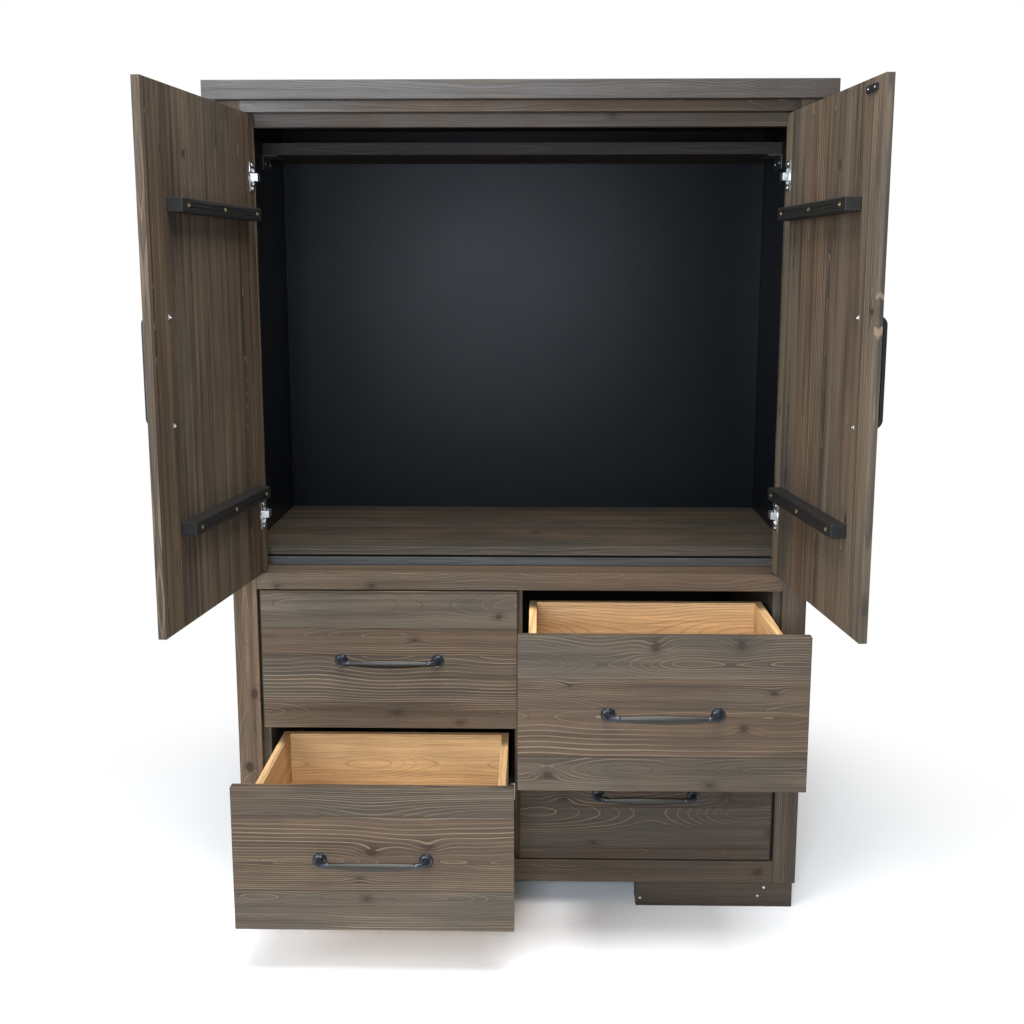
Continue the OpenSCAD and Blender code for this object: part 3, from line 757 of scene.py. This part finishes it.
class ARMOIRE_OT_carcass(ArmoireStep):
    """Stains the carcass and paints the inside of the compartment"""

    bl_idname = "armoire.carcass"
    bl_label = "Carcass"

    def execute(self, context):
        wood = context.scene.armoire_wood
        ease = wood.round_over
        glued = wood.carcass_board
        pale = ("cap", "top_rail", "header_rail", "deck_board")
        stains = {
            # The last column is painted shade: the cap and the rails grow darker and browner to the
            # right, where less of the light from the left falls
            "cap": Stain("xyz", 3.0, glued, 0.1, 0.44, 0.4, 0.2, 0.4),
            "top_rail": Stain("xzy", 4.0, 0, 0.2, 0.9, 0.5, 0.3, 0.5),
            "header_rail": Stain("xzy", 5.0, 0, 0.2, 0.7, 0.5, 0.3, 0.2),
            "mid_rail": Stain("xzy", 6.0, 0, 0.6, 1.0, 0.5, 0.3, 0.2),
            "deck_board": Stain("xyz", 7.0, glued, 0.3, 0.24, 0.4, 0.1, 0),
            # high_board is made dark as painted shade of the top of the compartment, where it sits
            "high_board": Stain("xyz", 8.0, glued, 0.2, 0.24, 0.5, 0.1, 0),
            "bottom_rail": Stain("xzy", 9.0, 0, 0.8, 0.78, 0.5, 0.2, 0),
            "front_foot_left": Stain("xzy", 10.0, 0, 0.6, 0.7, 0.5, 0.2, 0),
            "front_foot_right": Stain("xzy", 11.0, 0, 0.6, 0.64, 0.5, 0.2, 0),
            "back_foot": Stain("xzy", 12.0, 0, 0.5, 0.8, 0.5, 0.2, 0),
            # The two posts are lit and shaded copies of one stain: the left one lighter and cooler
            # as painted light from the left, the right one darker and browner as painted shade
            "front_post_left": Stain("zxy", 13.0, 0, 0.5, 1.25, 0.5, 0.2, 0),
            "front_post_right": Stain("zxy", 14.0, 0, 0.9, 0.76, 0.5, 0.2, 0),
            "centre_divider": Stain("zyx", 15.0, glued, 0.9, 0.9, 0.4, 0.1, 0),
            "slide_gables": Stain("zyx", 16.0, glued, 0.5, 0.8, 0.4, 0.1, 0),
            "carcass_bottom": Stain("xyz", 17.0, glued, 0.5, 0.8, 0.4, 0.1, 0),
        }
        for node, stain in stains.items():
            cool = wood.pale if node in pale else None
            material = stained_wood(node + "_wood", box=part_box(node), cool=cool, **stain._asdict())
            dress(node, material, ease)
        material = stained_wood("media_shelf_wood", "xyz", 18.0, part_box("media_shelf"), glued,
                                cool=wood.shelf, warmth=0.2, light=0.88, lines=0.35,
                                knots=0.15)
        dress("media_shelf", material, ease)
        lined_to = size_of("back_panel")[1].x + MILLIMETRE
        for node, seed in (("side_panel_left", 19.0), ("side_panel_right", 20.0),
                           ("back_posts", 21.0)):
            material = stained_wood(node + "_wood", "zyx", seed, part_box(node), glued,
                                    lined_to=lined_to)
            dress(node, material, ease)
        dress("back_panel", painted_lining(), ease * 0.5)
        return {"FINISHED"}


class ARMOIRE_OT_doors(ArmoireStep):
    """Stains the doors and their battens"""

    bl_idname = "armoire.doors"
    bl_label = "Doors"

    def execute(self, context):
        wood = context.scene.armoire_wood
        # Painted light and shade: the right door, whose inner face turns towards the light at the
        # left, is stained lighter and cooler than the left door, which is darker and browner
        for side, seed, light, warmth in (("left", 30.0, 0.62, 0.8), ("right", 31.0, 0.77, 0.4)):
            spin = door_spin(side)
            box = door_box(side + "_door", side)
            material = stained_wood(side + "_door_wood", "zxy", seed, box, wood.door_board,
                                    spin=spin, line=wood.door_line, warmth=warmth, light=light,
                                    lines=1.0, knots=0.15, contrast=3.2)
            dress(side + "_door", material, wood.round_over)
            for place in ("upper", "lower"):
                node = side + "_batten_" + place
                material = stained_wood(node + "_wood", "xzy", seed + len(place),
                                        door_box(node, side), spin=spin, cool=wood.charcoal,
                                        warm=wood.charcoal, lines=0.12, knots=0.0, light=0.42)
                dress(node, material, wood.round_over * 1.5)
        return {"FINISHED"}


class ARMOIRE_OT_drawers(ArmoireStep):
    """Stains the drawer fronts and seals the pine boxes"""

    bl_idname = "armoire.drawers"
    bl_label = "Drawers"

    def execute(self, context):
        wood = context.scene.armoire_wood
        # The lower_right front is made darker and browner: painted shadow of the open upper-right
        # drawer above it
        fronts = {"upper_left": (41.6, 0.5, 0.95), "upper_right": (42.4, 0.7, 0.88),
                  "lower_left": (43.7, 0.65, 0.84), "lower_right": (44.1, 0.8, 0.6)}
        for drawer, (seed, warmth, light) in fronts.items():
            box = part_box(drawer + "_front")
            material = stained_wood(drawer + "_front_wood", "xzy", seed, box, wood.front_board,
                                    warmth=warmth, light=light, lines=0.95, knots=0.42)
            dress(drawer + "_front", material, wood.round_over)
            for part, grain in (("sides", "yzx"), ("ends", "xzy"), ("bottom", "xyz")):
                node = drawer + "_" + part
                material = stained_wood(node + "_pine", grain, seed + len(part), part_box(node),
                                        wood.pine_board, cool=wood.pine, warm=wood.pine,
                                        line=wood.pine_line, knot=wood.pine_knot, knots=0.14,
                                        lines=0.2, light=0.95, contrast=1.0,
                                        shine=0.16)
                dress(node, material, wood.round_over * 0.6)
        return {"FINISHED"}


class ARMOIRE_OT_drawer_pulls(ArmoireStep):
    """Builds the bowed pulls with their round feet"""

    bl_idname = "armoire.drawer_pulls"
    bl_label = "Drawer pulls"

    def execute(self, context):
        fittings = context.scene.armoire_metal
        dark = metal("blackened_feet", fittings.blackened, 0.32, metallic=0.75, mottle=0.9)
        bar = metal("pewter_bar", fittings.pewter, 0.46, mottle=0.4, brushed=True)
        for drawer in DRAWERS:
            node = drawer + "_pull"
            low, high, middle = size_of(node)
            disc = (high.z - low.z) / 2
            half = (high.x - low.x) / 2 - disc
            reach = high.y - low.y
            face = Vector((middle.x, high.y, middle.z))
            body = drawer + "_drawer"
            make_piece(drawer + "_pull_feet", body, dark,
                       lambda mesh: self.feet(mesh, fittings, face, half, disc, reach), [node])
            make_piece(drawer + "_pull_bar", body, bar,
                       lambda mesh: self.bar(mesh, fittings, face, half, reach), [node])
        return {"FINISHED"}

    def feet(self, mesh, fittings, face, half, disc, reach):
        """Stepped discs, each with a neck that bends round to the bar."""
        tall = fittings.disc_height
        # the way of a neck as shares of half and reach, and its radius in millimetres there
        bends = ((0.0, 0.12, 7.6), (0.0, 0.30, 6.4), (-0.02, 0.46, 5.8), (-0.07, 0.60, 5.6),
                 (-0.13, 0.69, 5.8), (-0.19, BAR_START, 6.2), (-0.21, 0.74, 5.0))
        profile = [(0, 0), (disc, 0), (disc, tall * 0.45), (disc * 0.93, tall * 0.8),
                   (disc * 0.82, tall * 0.72), (disc * 0.72, tall), (disc * 0.45, tall * 1.6),
                   (0, tall * 1.9)]
        for side in (-1, 1):
            foot = face + Vector((side * half, 0, 0))
            turn = Euler((math.pi / 2, 0, 0)).to_matrix().to_4x4()
            turn.translation = foot
            lathe(mesh, profile, turn, DISC_STEPS)
            path = [foot + Vector((side * along * half, -out * reach, 0))
                    for along, out, _ in bends]
            sizes = [(radius * MILLIMETRE, radius * MILLIMETRE) for _, _, radius in bends]
            sweep(mesh, path, sizes, BAR_STEPS)

    def bar(self, mesh, fittings, face, half, reach):
        """Bar that bows outwards and swells towards its middle."""
        path = []
        sizes = []
        start = BAR_START * reach
        furthest = reach - fittings.bar_depth
        for step in range(BAR_STEPS + 1):
            share = 2 * step / BAR_STEPS - 1
            swell = 1 - share * share
            out = start + (furthest - start) * swell
            path.append(face + Vector((share * half * BAR_SPAN, -out, 0)))
            sizes.append((fittings.bar_depth,
                          fittings.bar_end + (fittings.bar_middle - fittings.bar_end) * swell))
        sweep(mesh, path, sizes, BAR_STEPS)


class ARMOIRE_OT_door_fittings(ArmoireStep):
    """Blackens the door pulls, plates the hinges and adds the screws of the doors"""

    bl_idname = "armoire.door_fittings"
    bl_label = "Door fittings"

    def execute(self, context):
        fittings = context.scene.armoire_metal
        radius = fittings.screw_radius
        bolt_radius = radius * 1.1
        cup_screw_radius = radius * 0.8
        strike_screw_radius = radius * 0.6
        black = metal("black_pull", fittings.black, 0.38, metallic=0.6, mottle=0.5)
        zinc = metal("zinc_hinges", fittings.zinc, 0.32, mottle=0.25)
        brass = metal("screw_brass", fittings.brass, 0.35, mottle=0.4)
        dress("hinge_arms", zinc, 0.4 * MILLIMETRE)
        for side in ("left", "right"):
            dress(side + "_door_pull", black, 1.4 * MILLIMETRE)
            dress(side + "_hinge_cups", zinc, 0.3 * MILLIMETRE)
            inward = swing_open(Vector((0, 1, 0)), side) - swing_open(Vector(), side)
            body = side + "_door"
            make_piece(side + "_batten_screws", body, brass,
                       lambda mesh: self.batten_screws(mesh, side, inward, radius),
                       [side + "_door_screws"])
            make_piece(side + "_pull_bolts", body, zinc,
                       lambda mesh: self.pull_bolts(mesh, side, inward, bolt_radius),
                       [side + "_door_screws"])
            make_piece(side + "_cup_screws", body, zinc,
                       lambda mesh: self.cup_screws(mesh, side, inward, cup_screw_radius))
        dress("right_strike_plate", black, 0.3 * MILLIMETRE)
        inward = swing_open(Vector((0, 1, 0)), "right") - swing_open(Vector(), "right")
        make_piece("strike_screws", "right_door", zinc,
                   lambda mesh: self.strike_screws(mesh, inward, strike_screw_radius))
        return {"FINISHED"}

    def batten_screws(self, mesh, side, inward, radius):
        hole_end = 26 * MILLIMETRE
        for place in ("upper", "lower"):
            low, high = door_box(side + "_batten_" + place, side)
            for x in (low.x + hole_end, (low.x + high.x) / 2, high.x - hole_end):
                point = Vector((x, high.y, (low.z + high.z) / 2))
                screw(mesh, swing_open(point, side), inward, radius)

    def pull_bolts(self, mesh, side, inward, radius):
        low, high = door_box(side + "_door_pull", side)
        inner = door_box(side + "_door", side)[1].y
        half_strap = 3.5 * MILLIMETRE
        bolt_height = 1.8 * MILLIMETRE
        for z in (low.z + half_strap, high.z - half_strap):
            point = Vector(((low.x + high.x) / 2, inner, z))
            screw(mesh, swing_open(point, side), inward, radius, bolt_height)

    def cup_screws(self, mesh, side, inward, radius):
        low, high = door_box(side + "_hinge_cups", side)
        flange = 56 * MILLIMETRE
        apart = 45 * MILLIMETRE
        for middle in (low.z + flange / 2, high.z - flange / 2):
            for z in (middle - apart / 2, middle + apart / 2):
                point = Vector(((low.x + high.x) / 2, high.y, z))
                screw(mesh, swing_open(point, side), inward, radius)

    def strike_screws(self, mesh, inward, radius):
        low, high = door_box("right_strike_plate", "right")
        for share in (0.2, 0.8):
            point = Vector((low.x + (high.x - low.x) * share, high.y, (low.z + high.z) / 2))
            screw(mesh, swing_open(point, "right"), inward, radius, 0.8 * MILLIMETRE)


class ARMOIRE_OT_carcass_fittings(ArmoireStep):
    """Plates the slides and angle plates and adds their screws and the nails"""

    bl_idname = "armoire.carcass_fittings"
    bl_label = "Carcass fittings"

    def execute(self, context):
        fittings = context.scene.armoire_metal
        radius = fittings.screw_radius
        zinc = metal("zinc_plates", fittings.zinc, 0.36, mottle=0.35)
        # the angle plates get darkened zinc, painted shade of the top of the compartment
        painted_shade_metal = metal("painted_shade_plates", fittings.painted_shade_zinc, 0.5, metallic=0.8, mottle=0.5)
        dress("high_board_brackets", painted_shade_metal, 0.3 * MILLIMETRE)
        dress("slide_rails", zinc, 0.2 * MILLIMETRE)
        for drawer in DRAWERS:
            dress(drawer + "_runners", zinc, 0.3 * MILLIMETRE)
        make_piece("bracket_screws", "carcass", zinc,
                   lambda mesh: self.bracket_screws(mesh, radius))
        make_piece("hinge_plate_screws", "carcass", zinc,
                   lambda mesh: self.hinge_plate_screws(mesh, radius * 0.9))
        make_piece("back_panel_screws", "carcass", zinc,
                   lambda mesh: self.back_panel_screws(mesh, radius))
        make_piece("foot_nails", "carcass", zinc, self.foot_nails)
        return {"FINISHED"}

    def bracket_screws(self, mesh, radius):
        low, high, _ = size_of("high_board_brackets")
        plate = 2 * MILLIMETRE
        for side in (-1, 1):
            for share in (0.2, 0.8):
                place = Vector((side * (high.x - plate), low.y + (high.y - low.y) * share,
                                low.z + (high.z - low.z) * 0.45))
                screw(mesh, place, Vector((-side, 0, 0)), radius)

    def hinge_plate_screws(self, mesh, radius):
        low, high, _ = size_of("hinge_arms")
        half_plate = 27 * MILLIMETRE
        plate = 2.5 * MILLIMETRE
        from_back = 12 * MILLIMETRE
        rise = 20 * MILLIMETRE
        for side in (-1, 1):
            for middle in (low.z + half_plate, high.z - half_plate):
                for z in (middle - rise, middle + rise):
                    place = Vector((side * (high.x - plate), high.y - from_back, z))
                    screw(mesh, place, Vector((-side, 0, 0)), radius)

    def back_panel_screws(self, mesh, radius):
        """Screws down both sides of the back panel and along its top and bottom."""
        low, high, _ = size_of("back_panel")
        inset = 12 * MILLIMETRE
        from_corners = 0.82
        gaps = 5
        back = Vector((0, 1, 0))
        for share in [step / gaps for step in range(gaps + 1)]:
            z = low.z + inset + (high.z - low.z - 2 * inset) * share
            for side in (-1, 1):
                screw(mesh, Vector((side * (high.x - inset), high.y, z)), back, radius)
            x = (high.x - inset) * (2 * share - 1) * from_corners
            for z in (low.z + inset, high.z - inset):
                screw(mesh, Vector((x, high.y, z)), back, radius)

    def foot_nails(self, mesh):
        """Nails in the face of the right front foot, near its ends."""
        low = size_of("front_foot_right")[0]
        for along, height in FOOT_NAILS:
            place = low + Vector((along, 0, height)) * MILLIMETRE
            screw(mesh, place, Vector((0, -1, 0)), 2.6 * MILLIMETRE, 0.6 * MILLIMETRE)


class ARMOIRE_PT_panel(bpy.types.Panel):
    """Lists the steps in the sidebar of the 3D view"""

    bl_label = "Armoire"
    bl_idname = "ARMOIRE_PT_panel"
    bl_space_type = "VIEW_3D"
    bl_region_type = "UI"
    bl_category = "Armoire"

    def draw(self, context):
        for step in STEPS:
            self.layout.operator(step.bl_idname)
        for group in (context.scene.armoire_wood, context.scene.armoire_metal,
                      context.scene.armoire_stage):
            column = self.layout.column(align=True)
            for name in group.__annotations__:
                column.prop(group, name)


STEPS = (ARMOIRE_OT_stage, ARMOIRE_OT_carcass, ARMOIRE_OT_doors, ARMOIRE_OT_drawers,
         ARMOIRE_OT_drawer_pulls, ARMOIRE_OT_door_fittings, ARMOIRE_OT_carcass_fittings)
GROUPS = {"armoire_wood": ArmoireWood, "armoire_metal": ArmoireMetal,
          "armoire_stage": ArmoireStage}


def register():
    for name, group in GROUPS.items():
        bpy.utils.register_class(group)
        setattr(bpy.types.Scene, name, bpy.props.PointerProperty(type=group))
    for step in STEPS:
        bpy.utils.register_class(step)
    bpy.utils.register_class(ARMOIRE_PT_panel)


def unregister():
    bpy.utils.unregister_class(ARMOIRE_PT_panel)
    for step in reversed(STEPS):
        bpy.utils.unregister_class(step)
    for name, group in GROUPS.items():
        delattr(bpy.types.Scene, name)
        bpy.utils.unregister_class(group)


def main():
    register()
    for step in STEPS:
        space, name = step.bl_idname.split(".")
        getattr(getattr(bpy.ops, space), name)()
    bpy.context.view_layer.update()


if __name__ == "__main__":
    main()
